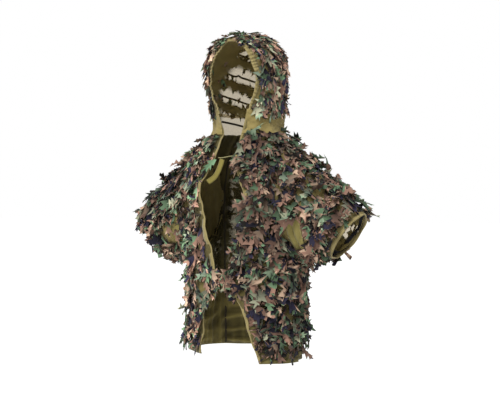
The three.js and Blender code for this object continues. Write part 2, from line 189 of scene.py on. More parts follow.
def section(half_width, front, back, angle):
    x = half_width * signed_power(np.cos(angle), 2 / SECTION_POWER)
    y = (front + back) / 2 + (back - front) / 2 * signed_power(np.sin(angle), 2 / SECTION_POWER)
    return x, y


def body_point(angle, z):
    """The body's cloth at an angle round it and a height, with soft hanging folds below the shoulders."""
    angle, z = np.broadcast_arrays(np.asarray(angle, float), np.asarray(z, float))
    a, front, back = (smooth_interp(BODY, z, c) for c in (1, 2, 3))
    drop = np.clip((-0.12 - z) / 0.5, 0, 1)
    fold = 0.006 * drop * waves(angle, z * 1.5, 3, low=3, high=9)
    crease = 0.0022 * waves(angle, z * 9, 4, count=9, low=2, high=12)
    x, y = section(a + fold + crease, front - fold - crease, back + fold + crease, angle)
    x = x + 0.013 * np.clip((-0.46 - z) / 0.12, 0, 1) * np.clip(-x / 0.2, 0, 1)
    return np.stack([x, y, z], -1)


def hood_height(v):
    """The height at v and the share of the full width that the dome has there."""
    start = HOOD[-1, 0]
    turn = np.clip(v - 1, 0, 1) * math.pi / 2
    z = np.where(v < 1, HOOD_LOW_Z + v * (start - HOOD_LOW_Z),
                 start + DOME_HEIGHT * np.sin(turn) ** (2 / DOME_POWER))
    return z, np.clip(np.cos(turn), 0, 1) ** (2 / DOME_POWER)


def hood_point(angle, v):
    """The hood's cloth: v runs from 0 at the neck to 1 where the dome starts and 2 at its top."""
    angle, v = np.broadcast_arrays(np.asarray(angle, float), np.asarray(v, float))
    z, scale = hood_height(v)
    a, front, back = (smooth_interp(HOOD, np.minimum(z, HOOD[-1, 0]), c) for c in (1, 2, 3))
    crease = 0.003 * waves(angle, v * 3, 8, count=8, low=2, high=10)
    middle = (front + back) / 2
    x, y = section(a + crease, front - crease, back + crease, angle)
    return np.stack([x * scale, middle + (y - middle) * scale, z], -1)


def sleeve_point(side, angle, t):
    """A sleeve's cloth: angle 0 is its top line and t the number of the section, 4 at the cuff."""
    angle, t = np.broadcast_arrays(np.asarray(angle, float), np.asarray(t, float))
    steps = np.arange(len(SLEEVE))
    top_x, top_z, low_x, low_z, depth, mid_y = (
        sum(np.interp(t + s, steps, SLEEVE[:, c]) for s in (-0.3, 0, 0.3)) / 3 for c in range(6))
    crease = 1 + 0.03 * waves(angle, t * 2.2, 12 + side, count=8, low=2, high=8)
    up = np.cos(angle) / 2 * crease
    x = (top_x + low_x) / 2 + up * (top_x - low_x)
    z = (top_z + low_z) / 2 + up * (top_z - low_z)
    y = mid_y + depth * np.sin(angle) * crease
    return np.stack([side * x, y, z], -1)


def with_normals(surface, u, v, flip=1.0):
    """Points of a surface and its unit normals, outwards, by small steps both ways."""
    e = 1e-3
    across = surface(u + e, v) - surface(u - e, v)
    along = surface(u, v + e) - surface(u, v - e)
    return surface(u, v), unit(np.cross(across, along) * flip, 1e-9)


def body_surface(u, v):
    return with_normals(body_point, u, v)


def hood_surface(u, v):
    return with_normals(hood_point, u, v)


def sleeve_surface(side):
    return lambda u, v: with_normals(lambda a, b: sleeve_point(side, a, b), u, v, flip=-side)


def face_half(side, z):
    """The face opening's half width on one side, nothing above its top."""
    return np.where(z < FACE[-1, 0], smooth_interp(FACE, z, 1 if side > 0 else 2, reach=0.012), 0.0)


def off_face(points, gap):
    """Which points of the hood lie outside the face opening by a gap."""
    x, y, z = points[..., 0], points[..., 1], points[..., 2]
    inside = (x < face_half(1, z - gap) + gap) & (x > -face_half(-1, z - gap) - gap)
    return ~(inside & (y < 0) & (z < FACE[-1, 0] + gap))


def opening_half(side, z):
    return smooth_interp(OPENING, z, 1 if side > 0 else 2, reach=0.03)


def edge_angle(side, z, margin=0.0):
    """The angle round the body where the front edge lies."""
    angle = angle_at((opening_half(side, z) + margin) / smooth_interp(BODY, z, 1))
    return angle if side > 0 else -math.pi - angle


def side_seam(side, past=0.0):
    """The angle round the body of a side seam, or of a place past it towards the back."""
    return past if side > 0 else -math.pi - past


def angle_at(share):
    """The angle, from 0 at the side to -90 degrees in front, where a share of a section's half width lies."""
    return -np.arccos(np.clip(share, 0, 1) ** (SECTION_POWER / 2))


# ---------------------------------------------------------------- meshes

def new_mesh(name, points, faces, uv=None, tone=None, material=None):
    """An object from arrays. uv and tone are per vertex and become the UV maps 'cloth' and 'tone'."""
    mesh = bpy.data.meshes.new(name)
    faces = np.asarray(faces, np.int32)
    mesh.vertices.add(len(points))
    mesh.vertices.foreach_set("co", np.asarray(points, np.float32).ravel())
    mesh.loops.add(faces.size)
    mesh.loops.foreach_set("vertex_index", faces.ravel())
    mesh.polygons.add(len(faces))
    mesh.polygons.foreach_set("loop_start", np.arange(0, faces.size, faces.shape[1], dtype=np.int32))
    mesh.polygons.foreach_set("use_smooth", np.ones(len(faces), bool))
    mesh.update()
    mesh.validate()
    for layer_name, values in (("cloth", uv), ("tone", tone)):
        if values is not None:
            layer = mesh.uv_layers.new(name=layer_name)
            index = np.zeros(len(mesh.loops), np.int32)
            mesh.loops.foreach_get("vertex_index", index)
            layer.data.foreach_set("uv", np.asarray(values, np.float32)[index].ravel())
    mesh.materials.append(material)
    return link_object(name, mesh)


def link_object(name, data):
    """A new object in the scene that holds a mesh, a camera or a light."""
    obj = bpy.data.objects.new(name, data)
    bpy.context.scene.collection.objects.link(obj)
    return obj


def grid_faces(rows, columns, closed=False):
    """Quads of a grid of rows x columns points, with columns joined round when closed."""
    r, c = np.meshgrid(np.arange(rows - 1), np.arange(columns if closed else columns - 1), indexing="ij")
    a = (r * columns + c).ravel()
    b = (r * columns + (c + 1) % columns).ravel()
    return np.stack([a, b, b + columns, a + columns], 1)


def grid_lengths(points):
    """Distances along a grid's two directions, so that a cloth's UV map is in metres."""
    rows = np.linalg.norm(np.diff(points, axis=0), axis=-1).mean(1)
    columns = np.linalg.norm(np.diff(points, axis=1), axis=-1).mean(0)
    v = np.concatenate([[0], np.cumsum(rows)])
    u = np.concatenate([[0], np.cumsum(columns)])
    return np.stack(np.broadcast_arrays(u[None, :], v[:, None]), -1)


def grid_object(name, body, points, *replaced, keep=None, clear=0.0, painted_light=1.0, cloth="net",
                inner="hood_inner_painted_light", slot="net_cloth"):
    """A cloth panel from a rows x columns grid of points. keep, per point, drops the faces that it doesn't hold
    whole. clear, one number or one for each point, is how far each face of its cloth lets the light straight
    through. The second value of its tone map scales the cloth's colour as painted light and shade. inner is the
    material of its inner face."""
    rows, columns = points.shape[:2]
    keep = np.ones((rows, columns), bool) if keep is None else keep
    faces = grid_faces(rows, columns)
    faces = faces[keep.ravel()[faces].all(1)]
    used = np.unique(faces)
    renumber = np.zeros(rows * columns, np.int32)
    renumber[used] = np.arange(len(used))
    uv = grid_lengths(points).reshape(-1, 2)[used]
    tone = np.stack([np.broadcast_to(values, (rows, columns)).ravel()[used] for values in (clear, painted_light)], 1)
    obj = new_mesh(name, points.reshape(-1, 3)[used], renumber[faces], uv, tone, MATERIALS[cloth])
    obj.data.materials.append(MATERIALS[inner])
    face_out(obj)
    modifier = obj.modifiers.new("thickness", "SOLIDIFY")
    modifier.thickness = CLOTH_THICKNESS
    modifier.offset = -1
    modifier.material_offset = modifier.material_offset_rim = 1
    place(obj, body, slot, *replaced)


def face_out(obj):
    """Turn a sheet's faces outwards, away from the middle of the jacket or of its sleeve."""
    mesh = obj.data
    centres, normals = np.zeros((2, len(mesh.polygons) * 3))
    mesh.polygons.foreach_get("center", centres)
    mesh.polygons.foreach_get("normal", normals)
    centres, normals = centres.reshape(-1, 3), normals.reshape(-1, 3)
    side_x = np.where(np.abs(centres[:, 0]) > 0.22, np.sign(centres[:, 0]) * 0.25, 0.0)
    away = centres - np.stack([side_x, np.full(len(centres), -0.025), centres[:, 2]], 1)
    if (away * normals).sum() < 0:
        mesh.flip_normals()


def sweep(name, path, inward, normal, profile, cloth, closed=False):
    """A closed profile carried along a path. The profile's points are (inward, normal) offsets in metres."""
    profile = np.asarray(profile, float)
    n, k = len(path), len(profile)
    points = path[:, None] + inward[:, None] * profile[None, :, 0:1] + normal[:, None] * profile[None, :, 1:2]
    faces = [grid_faces(n, k, closed=True)]
    if closed:
        last, i = (n - 1) * k, np.arange(k)
        faces.append(np.stack([last + i, last + (i + 1) % k, (i + 1) % k, i], 1))
    uv = np.stack(np.broadcast_arrays(run_length(path)[:, None], run_length(profile)[None, :]), -1).reshape(-1, 2)
    obj = new_mesh(name, points.reshape(-1, 3), np.concatenate(faces), uv, material=MATERIALS[cloth])
    if not closed:
        cap_ends(obj, n, k)
    return obj


def cap_ends(obj, n, k):
    """Close both ends of a swept profile of k points carried along n places."""
    bm = bmesh.new()
    bm.from_mesh(obj.data)
    bm.verts.ensure_lookup_table()
    bm.faces.new([bm.verts[i] for i in range(k)])
    bm.faces.new([bm.verts[(n - 1) * k + i] for i in reversed(range(k))])
    bmesh.ops.recalc_face_normals(bm, faces=bm.faces)
    bm.to_mesh(obj.data)
    bm.free()


def tape_profile(width, thick=0.0011, nose=0.0021):
    """A tape folded over a cloth's edge: down the outside, round the nose and up the inside."""
    outside = [(width, 1), (width * 0.5, 1.25), (width * 0.12, 1.7), (-nose * 0.7, 1.3)]
    inside = [(width, 0.25), (width * 0.5, 0.3)]
    return [(x, thick * y) for x, y in (
        *outside, (-nose, 0), *((x, -y) for x, y in reversed(outside)), *((x, -y) for x, y in inside),
        *reversed(inside))]


# ---------------------------------------------------------------- materials

class Nodes:
    """A short way to write the node tree of a material or a world."""

    def __init__(self, owner):
        self.owner = owner
        owner.use_nodes = True
        self.tree = owner.node_tree
        self.tree.nodes.clear()

    def add(self, kind, inputs=None, **settings):
        node = self.tree.nodes.new(kind)
        for key, value in settings.items():
            setattr(node, key, value)
        for key, value in (inputs or {}).items():
            if isinstance(value, bpy.types.NodeSocket):
                self.tree.links.new(value, node.inputs[key])
            else:
                node.inputs[key].default_value = value
        return node

    def uv(self, name):
        return self.add("ShaderNodeUVMap", uv_map=name).outputs[0]

    def parts(self, vector):
        return self.add("ShaderNodeSeparateXYZ", {0: vector}).outputs

    def math(self, operation, a, b=0.0):
        return self.add("ShaderNodeMath", {0: a, 1: b}, operation=operation).outputs[0]

    def mix(self, factor, a, b):
        a, b = (colour if isinstance(colour, bpy.types.NodeSocket) else (*colour, 1) for colour in (a, b))
        return self.add("ShaderNodeMix", {0: factor, 6: a, 7: b}, data_type="RGBA").outputs[2]

    def step(self, value, low, high):
        return self.add("ShaderNodeMapRange", {0: value, 1: low, 2: high}).outputs[0]

    def noise(self, vector, scale, detail=2.0, shift=(0, 0, 0), distortion=0.0):
        moved = self.add("ShaderNodeVectorMath", {0: vector, 1: shift}, operation="ADD").outputs[0]
        inputs = {"Vector": moved, "Scale": scale, "Detail": detail, "Distortion": distortion}
        return self.add("ShaderNodeTexNoise", inputs).outputs["Fac"]

    def lightened(self, colour, value):
        return self.add("ShaderNodeHueSaturation", {"Value": value, "Color": colour}).outputs[0]

    def threads(self, vector, pitch):
        """Across and along a cloth, waves that are 0 and 0.5 by turns at half a thread's pitch."""
        split = self.parts(vector)
        return [self.math("PINGPONG", self.math("MULTIPLY", split[i], 1 / pitch), 0.5) for i in (0, 1)]

    def bump(self, height, depth):
        return self.add("ShaderNodeBump", {"Strength": 0.5, "Distance": depth, "Height": height}).outputs[0]

    def finish(self, factor, colour, roughness, specular, sheen, bump, other):
        """The material: cloth of a colour, mixed with a factor of another shader."""
        cloth = self.add("ShaderNodeBsdfPrincipled", {
            "Base Color": colour, "Roughness": roughness, "Specular IOR Level": specular, "Sheen Weight": sheen,
            "Normal": bump}).outputs[0]
        mixed = self.add("ShaderNodeMixShader", {0: factor, 1: cloth, 2: other}).outputs[0]
        self.add("ShaderNodeOutputMaterial", {0: mixed})
        return self.owner


def new_material(name):
    return Nodes(bpy.data.materials.new(name))


def srgb(r, g, b):
    """A colour given in 0 to 255 display values, as linear light."""
    def linear(c):
        c = c / 255
        return c / 12.92 if c <= 0.04045 else ((c + 0.055) / 1.055) ** 2.4
    return tuple(linear(c) for c in (r, g, b))


def weave(n, uv, pitch, depth):
    """Bump of crossing threads at a pitch in metres."""
    return n.bump(n.math("MULTIPLY", *n.threads(uv, pitch)), depth)


def leaf_material():
    """Printed woodland cloth: brown with tan, green and near-black blots, each leaf cut from another place of it."""
    n = new_material("leaf_cloth")
    uv = n.uv("cloth")
    pale, bright = n.parts(n.uv("tone"))[:2]
    colour = srgb(148, 114, 97)
    for scale, shift, edge, blot in (
            (10, (3, 0, 0), 0.55, srgb(190, 161, 136)), (9, (17, 5, 0), 0.55, srgb(104, 132, 100)),
            (10, (41, 9, 0), 0.565, srgb(36, 35, 58)), (12, (63, 2, 0), 0.60, srgb(30, 27, 26))):
        colour = n.mix(n.step(n.noise(uv, scale, 2.5, shift, 0.8), edge, edge + 0.01), colour, blot)
    faded = n.mix(0.55, colour, srgb(168, 190, 158))
    colour = n.mix(n.step(pale, 0.86, 0.87), colour, faded)
    colour = n.mix(n.math("MULTIPLY", n.noise(uv, 60, 3, (7, 7, 0)), 0.3), colour, srgb(60, 50, 40))
    # The tone map's second value scales the colour: each leaf's tone, with painted shade and painted light in it.
    colour = n.lightened(colour, bright)
    glow = n.add("ShaderNodeBsdfTranslucent", {0: colour}).outputs[0]
    return n.finish(0.14, colour, 0.82, 0.2, 0.08, weave(n, uv, 0.0009, 0.0002), glow)


def net_material(name, colour, dark):
    """A thin mesh cloth. The tone map says how clear it is at each place and how far its colour is lightened or
    darkened as painted light and shade; its threads cross at a 1.6 mm pitch.
    """
    n = new_material(name)
    uv = n.uv("cloth")
    clear, painted_light = n.parts(n.uv("tone"))[:2]
    thread = n.math("MAXIMUM", *(n.math("SUBTRACT", 1.0, n.step(wave, 0.08, 0.26)) for wave in n.threads(uv, 0.0016)))
    hole = n.math("MULTIPLY", clear, n.math("SUBTRACT", 1.08, n.math("MULTIPLY", thread, 0.16)))
    shade = n.mix(n.noise(uv, 24, 3), colour, dark)
    shade = n.mix(n.math("MULTIPLY", n.noise(uv, 300, 2), 0.25), shade, dark)
    # Painted light and shade, from the tone map's second value.
    shade = n.lightened(shade, painted_light)
    through = n.add("ShaderNodeBsdfTransparent", {0: (0.94, 0.89, 0.79, 1)}).outputs[0]
    return n.finish(hole, shade, 0.9, 0.2, 0.1, n.bump(thread, 0.0004), through)


def cloth_material(name, colour, dark, pitch=0.0012, stitch_rows=(), sheen=0.2, glow=0.08):
    """A woven cloth or tape with soiling and rows of stitches at given places across it."""
    n = new_material(name)
    uv = n.uv("cloth")
    along, across = n.parts(uv)[:2]
    shade = n.mix(n.noise(uv, 22, 4), colour, dark)
    shade = n.mix(n.math("MULTIPLY", n.noise(uv, 400, 2), 0.4), shade, dark)
    for place_across in stitch_rows:
        line = n.math("LESS_THAN", n.math("ABSOLUTE", n.math("SUBTRACT", across, place_across)), 0.0005)
        dash = n.math("LESS_THAN", n.math("PINGPONG", n.math("MULTIPLY", along, 1 / 0.0035), 0.5), 0.33)
        shade = n.mix(n.math("MULTIPLY", line, dash), shade, tuple(c * 0.35 for c in dark))
    through = n.add("ShaderNodeBsdfTranslucent", {0: shade}).outputs[0]
    return n.finish(glow, shade, 0.85, 0.25, sheen, weave(n, uv, pitch, 0.0003), through)


# Copies of the net cloth as painted light: darker outside the fronts and back, much darker inside the body and neck
# band, and lighter inside the hood and sleeves.
MATERIALS = {
    "leaf": leaf_material(),
    "net": net_material("net_cloth", srgb(164, 147, 92), srgb(124, 111, 66)),
    "net_inner_painted_shade": net_material("net_cloth_inner_painted_shade", srgb(84, 76, 40), srgb(58, 51, 25)),
    "hood_inner_painted_light": net_material("hood_cloth_inner_painted_light", srgb(196, 176, 106), srgb(142, 126, 72)),
    "net_front_painted_shade": net_material("net_cloth_front_painted_shade", srgb(140, 128, 76), srgb(104, 94, 52)),
    "olive": cloth_material("olive_cloth", srgb(166, 154, 92), srgb(118, 108, 58)),
    "tape": cloth_material("olive_tape", srgb(176, 161, 108), srgb(120, 107, 66), 0.001,
                           (0.0035, 0.0105, 0.0215, 0.0285)),
    "hem": cloth_material("hem_cloth", srgb(128, 118, 68), srgb(92, 84, 46), 0.001, (0.0035, 0.0105)),
    "tab": cloth_material("tab_cloth", srgb(146, 134, 66), srgb(106, 97, 44), 0.001, (0.0025, 0.0165)),
    "pale_leaf": cloth_material("pale_leaf_cloth", srgb(136, 172, 132), srgb(104, 140, 104), 0.0009),
    "strap": cloth_material("dark_webbing", srgb(62, 54, 32), srgb(38, 32, 18), 0.0016, (0.0015,)),
    "elastic": cloth_material("black_elastic", srgb(34, 34, 38), srgb(16, 16, 20), 0.0014, (), 0.1, 0.0),
    "cord": cloth_material("tie_cord", srgb(190, 182, 130), srgb(120, 112, 72), 0.0008),
}


# ---------------------------------------------------------------- solids used to test where cloth lies

def tube_tree(surface, u, v):
    """A closed BVH of a surface's grid with both ends shut, to test what is inside it."""
    points = surface(*np.meshgrid(u, v, indexing="xy"))
    rows, columns = points.shape[:2]
    flat = [Vector(p) for p in points.reshape(-1, 3)]
    faces = [tuple(f) for f in grid_faces(rows, columns, closed=True)]
    faces.append(tuple(range(columns)))
    faces.append(tuple((rows - 1) * columns + i for i in range(columns)))
    return BVHTree.FromPolygons(flat, faces)


def is_inside(tree, points, direction=(0.0117, 0.9998, 0.0163)):
    """Which points lie inside a closed tree, by counting the walls on the way out."""
    ray = Vector(direction).normalized()
    found = []
    for p in points.reshape(-1, 3):
        at, hits = Vector(p), 0
        while hits < 12:
            place, _, _, _ = tree.ray_cast(at, ray)
            if place is None:
                break
            at, hits = place + ray * 1e-5, hits + 1
        found.append(hits % 2 == 1)
    return np.array(found, bool).reshape(points.shape[:-1])


ROUND = np.linspace(0, 2 * math.pi, 48, endpoint=False)
SEAM_LAP = 0.006


def lapped(surface):
    """A surface moved inwards by the seam lap, so that each panel runs just past its seam."""
    def moved(u, v):
        p, n = surface(u, v)
        return p - n * SEAM_LAP
    return moved


BODY_TREE = tube_tree(lapped(body_surface), ROUND, np.linspace(-0.81, 0.05, 40))
SLEEVE_TREES = {s: tube_tree(lapped(sleeve_surface(s)), ROUND, np.linspace(0, 4.6, 24)) for s in (1, -1)}


# ---------------------------------------------------------------- cloth panels

# Places on the back of the left sleeve where its cloth is clear; the right sleeve mirrors them.
SLEEVE_LIGHTS = np.array([
    [336, 67, -332, 17], [334, 60, -358, 11], [370, 64, -336, 14]]) / 1000

# Places left bare of leaves, where the cloth itself shows: centre and radius, in millimetres here.
BARE = np.array([
    [231, -115, -360, 52], [318, -90, -200, 26], [405, -30, -262, 30], [-270, -100, -360, 36],
    [-90, -160, -545, 26], [45, -165, -560, 18], [72, -167, -220, 18], [18, -153, -98, 34], [36, -125, -50, 20],
    [117, -72, 232, 22], [119, -31, 137, 24]]) / 1000


def is_clothed(points):
    """Which points don't lie in a bare place."""
    found = np.ones(len(points), bool)
    for x, y, z, radius in BARE:
        found &= np.linalg.norm(points - (x, y, z), axis=1) > radius
    return found


def painted_leaf_shade(points, covered=0.52):
    """Painted shade: the cloth keeps its full colour in bare places and is darkened under the leaves, where they would
    shade it.
    """
    near = np.zeros(points.shape[:-1])
    for x, y, z, radius in BARE:
        off = np.linalg.norm(points - (x, y, z), axis=-1)
        near = np.maximum(near, np.clip((radius * 1.15 - off) / (0.35 * radius), 0, 1))
    return covered + (1 - covered) * near


def near_lights(points, spare=0.0):
    """Which points lie in a sleeve's clear places, or within a spare distance of them."""
    mirrored = points * np.array([np.sign(points[..., :1].mean()), 1, 1])
    found = np.zeros(points.shape[:-1], bool)
    for x, y, z, radius in SLEEVE_LIGHTS:
        found |= np.linalg.norm(mirrored - (x, y, z), axis=-1) < radius + spare
    return found


def body_keep(points):
    """Points of the body's cloth that aren't inside a sleeve."""
    keep = np.ones(points.shape[:-1], bool)
    for s in (1, -1):
        near = points[..., 0] * s > 0.1
        keep[near] &= ~is_inside(SLEEVE_TREES[s], points[near])
    return keep


# The angles round the body of the seams between the back's middle and side pieces.
BACK_SEAMS = (0.768, math.pi - 0.768)


def back_clear(points):
    """The back's cloth is thinner beside its seams, above the waist."""
    x = np.abs(points[..., 0])
    near = np.exp(-((x - BACK_SEAM_X) / 0.020) ** 2) + 0.6 * np.exp(-((x - 0.172) / 0.010) ** 2)
    z = points[..., 2]
    high = np.clip((z + 0.56) / 0.1, 0, 1) * np.clip((-0.11 - z) / 0.05, 0, 1)
    return 0.07 + 0.24 * near * high


def ridged(u, v, seed, low, high):
    """Sharp creases with smooth cloth between them, from 0 to about 1."""
    return 1 - np.clip(np.abs(waves(u, v, seed, count=8, low=low, high=high)) * 1.3, 0, 1)


def make_back():
    z = np.linspace(HEM_Z + HEM_TURN, NECK_LOW_Z, 230)[:, None]
    angle = np.linspace(-0.10, math.pi + 0.10, 200)[None, :]
    points, normal = body_surface(angle, z)
    low = np.clip((-0.50 - z) / 0.12, 0, 1)
    across = ridged(angle * 1.5, z * 16, 31, 1, 5)
    upright = ridged(angle * 3.2, z * 1.6, 32, 2, 7)
    inward = 0.0095 * low * across + (0.009 - 0.002 * low) * upright
    points = points - normal * inward[..., None]
    # Painted light and shade: lighter low down, where light comes in under the hem, and lighter along the creases than
    # between them.
    painted_back_light = 1.0 + low * (0.55 + 1.7 * (across - 0.4)) + (0.6 + 0.5 * low) * (upright - 0.4)
    grid_object("back_net_panel", "jacket", points, "back_panel", keep=body_keep(points), clear=back_clear(points),
                painted_light=painted_back_light, cloth="net_front_painted_shade", inner="net_inner_painted_shade")


def make_back_seams():
    """The felled seams of the back, one at each side, on the inside."""
    z = np.linspace(HEM_Z + HEM_TURN, NECK_LOW_Z - 0.06, 160)
    profile = [(0.0032, -0.0006), (0.0032, -0.0018), (0.0008, -0.0030), (-0.0022, -0.0026), (-0.0032, -0.0012),
               (-0.0032, -0.0006)]
    lines = []
    for i, angle in enumerate(BACK_SEAMS):
        path, normal = body_surface(angle + 0.012 * np.sin(z * 19 + i), z)
        lines += runs(path - normal * 0.008, normal, body_keep(path))
    strap_object("back_felled_seams", "jacket", lines, profile=profile)


# How far each front runs on behind the back panel at the side seam, as an angle round the body.
SIDE_OVERLAP = 0.14


def make_front(name, side):
    z = np.linspace(FRONT_HEM_Z[name] + HEM_TURN, NECK_LOW_Z, 130)
    angle = spans(edge_angle(side, z, 0.004), side_seam(side, SIDE_OVERLAP), 72)
    points, normal = body_surface(angle, z[:, None])
    inner = np.clip((np.sin(angle) + 0.10) / 0.04, 0, 1)
    points = points - normal * (0.0015 * inner)[..., None]
    grid_object(f"{name}_front_net_panel", f"{name}_front", points, f"{name}_front_panel", f"{name}_flap_panel",
                keep=body_keep(points), clear=FRONT_CLEAR, painted_light=painted_leaf_shade(points), cloth="net_front_painted_shade",
                inner="net_inner_painted_shade")


def make_sleeve(name, side):
    points = sleeve_point(side, np.linspace(0, 2 * math.pi, 161)[None, :], np.linspace(0.2, CUFF, 110)[:, None])
    grid_object(f"{name}_sleeve_net", f"{name}_arm", points, f"{name}_sleeve_panel",
                keep=~is_inside(BODY_TREE, points), painted_light=painted_leaf_shade(points),
                clear=np.where(near_lights(points), *SLEEVE_CLEAR))


def face_angle(side, v):
    """The angle of the face edge on one side of the hood at v; above the face it is straight ahead."""
    z, scale = hood_height(np.asarray(v, float))
    half = smooth_interp(HOOD, np.minimum(z, HOOD[-1, 0]), 1) * np.maximum(scale, 1e-6)
    angle = angle_at(face_half(side, z) / half)
    return angle if side > 0 else math.pi - angle


def rear_share(points):
    """How far places round the head are into the rear, 0 to 1: it starts further back high up and on the left."""
    start = (-0.03 + 0.075 * np.clip(points[..., 0] / 0.06, 0, 1)
             + 0.06 * np.clip((points[..., 2] - 0.165) / 0.07, 0, 1))
    return np.clip((points[..., 1] - start) / 0.05, 0, 1)


def head_clear(points):
    """How clear the cloth round the head is: most at the rear, where it is stretched over one layer."""
    share = rear_share(points)
    level = hood_level(points)
    rows = sum(np.exp(-((level - z + 0.018) / 0.018) ** 4) for z in HOOD_REAR_ROWS)
    return 0.08 + 0.64 * share * share * (3 - 2 * share) * (1 - 0.66 * rows)


def make_hood():
    v = np.linspace(0.0, 1.985, 90)
    points = hood_point(spans(face_angle(1, v), face_angle(-1, v), 140), v[:, None])
    grid_object("hood_net_shell", "hood", points, "hood_crown", "hood_left_side", "hood_right_side",
                clear=head_clear(points), painted_light=painted_leaf_shade(points, 0.72))


def make_neck_band():
    z = np.linspace(NECK_LOW_Z - 0.012, HOOD_LOW_Z + 0.012, 26)
    angle = spans(edge_angle(1, z), edge_angle(-1, z) + 2 * math.pi, 180)
    points, normal = body_surface(angle, z[:, None])
    sag = 0.0018 * waves(angle * 3, z[:, None] * 60, 21, count=10, low=2, high=9)
    points = points + normal * (0.0032 + sag)[..., None]
    grid_object("neck_band_cloth", "neck", points, "neck_band", clear=head_clear(points), inner="net_inner_painted_shade",
                slot="olive_tape")


# ---------------------------------------------------------------- tapes and straps

def edge_frames(path, normal):
    """The direction into the cloth at each point of an edge: across the path and in the surface."""
    return unit(np.cross(np.gradient(path, axis=0), normal))


def make_front_tape(name, side):
    z = np.linspace(FRONT_HEM_Z[name] + 0.001, NECK_TOP_Z - 0.002, 170)
    path, normal = body_surface(edge_angle(side, z), z)
    inward = edge_frames(path, normal)
    inward *= np.sign(inward[80, 0] * side)
    path = path + normal * (0.004 * np.sin(z * 48 + side) + 0.0015 * np.sin(z * 130) + 0.001)[:, None]
    narrow = np.interp(z, [-0.62, -0.50, -0.44, -0.16, -0.12], [0.6, 0.8, 1.0, 1.0, 0.5])
    inward = inward * (narrow * (1 + 0.14 * np.sin(z * 70 + 2) + 0.06 * np.sin(z * 190)))[:, None]
    obj = sweep(f"{name}_front_edge_tape", path, inward, normal, tape_profile(TAPE_WIDTH), "tape")
    place(obj, f"{name}_front", "olive_tape", f"{name}_front_tape", f"{name}_flap_tape")


def make_hem_tape(name, body, start, end, z, *replaced):
    """A narrow hem: most of it is on the outside, with only a thin turning inside."""
    path, normal = line_on(body_surface, start, end, 120, z)
    profile = [
        (0.013, 0.0011), (0.006, 0.0015), (0.001, 0.0018), (-0.0012, 0.0012), (-0.0018, 0), (-0.0012, -0.0012),
        (0.001, -0.0017), (0.0035, -0.0011), (0.0035, -0.0002), (0.006, 0.0003), (0.013, 0.0003)]
    obj = sweep(name, path, np.tile(UP, (len(path), 1)), normal, profile, "hem")
    place(obj, body, "olive_tape", *replaced)


def make_cuff(name, side):
    surface = sleeve_surface(side)
    angle = np.linspace(0, 2 * math.pi, 120, endpoint=False)
    path, normal = surface(angle, np.full_like(angle, CUFF))
    inward = unit(surface(angle, np.full_like(angle, CUFF - 0.15))[0] - path)
    ribs = [(0.013 + 0.011 * i / 12, -0.0034 - (0.0006 if i % 2 else 0.0)) for i in range(13)]
    for piece, profile, cloth, slot, node in (
            ("edge_tape", tape_profile(0.0095, 0.0013), "tape", "olive_tape", "tape"),
            ("band", [*ribs, (0.024, -0.0026), (0.013, -0.0026)], "elastic", "black_elastic", "elastic")):
        obj = sweep(f"{name}_cuff_{piece}", path, inward, normal, profile, cloth, closed=True)
        place(obj, f"{name}_sleeve", slot, f"{name}_cuff_{node}")


def make_face_tape():
    v = np.linspace(0.0, hood_v(FACE[-1, 0] - 0.002), 300)
    left, right = (hood_surface(face_angle(side, v), v) for side in (1, -1))
    path, normal = resample(*(np.concatenate([a, b[::-1]]) for a, b in zip(left, right)), 320)
    inward = edge_frames(path, normal)
    inward *= np.sign(inward[40, 0])
    run = run_length(path)
    pucker = 0.0016 * np.sin(run * 2 * math.pi / 0.012 + 2 * np.sin(run * 40))
    path = path + normal * (0.0012 + pucker)[:, None]
    narrow = np.interp(run / run[-1], [0, 0.1, 0.22, 0.36, 0.5, 0.62, 1], [0.4, 0.5, 1.0, 0.95, 0.5, 0.3, 0.3])
    obj = sweep("face_edge_tape", path, inward * narrow[:, None], normal, tape_profile(0.017, 0.0015, 0.003), "tape")
    place(obj, "hood", "olive_tape", "hood_face_tape")


def resample(path, normal, count):
    """The same line with its points evenly spaced, lightly smoothed."""
    length = run_length(path)
    even = np.linspace(0, length[-1], count)
    path, normal = (np.stack([np.interp(even, length, values[:, i]) for i in range(3)], 1)
                    for values in (path, normal))
    for _ in range(3):
        for values in (path, normal):
            values[1:-1] = (values[:-2] + 2 * values[1:-1] + values[2:]) / 4
    return path, unit(normal)


def strap_object(name, body, lines, *replaced, profile=None):
    """Flat straps along several lines of (points, normals) joined as one piece."""
    half, thick = STRAP_WIDTH / 2, 0.0007
    profile = profile or [(half, thick), (-half, thick), (-half, -thick), (half, -thick)]
    made = [sweep(f"{name}_{i}", path, edge_frames(path, normal), normal, profile, "strap")
            for i, (path, normal) in enumerate(lines)]
    place(join_objects(made, name), body, "dark_webbing", *replaced)


def join_objects(objects, name):
    with bpy.context.temp_override(active_object=objects[0], selected_editable_objects=objects, object=objects[0]):
        bpy.ops.object.join()
    objects[0].name = name
    objects[0].data.name = name
    return objects[0]


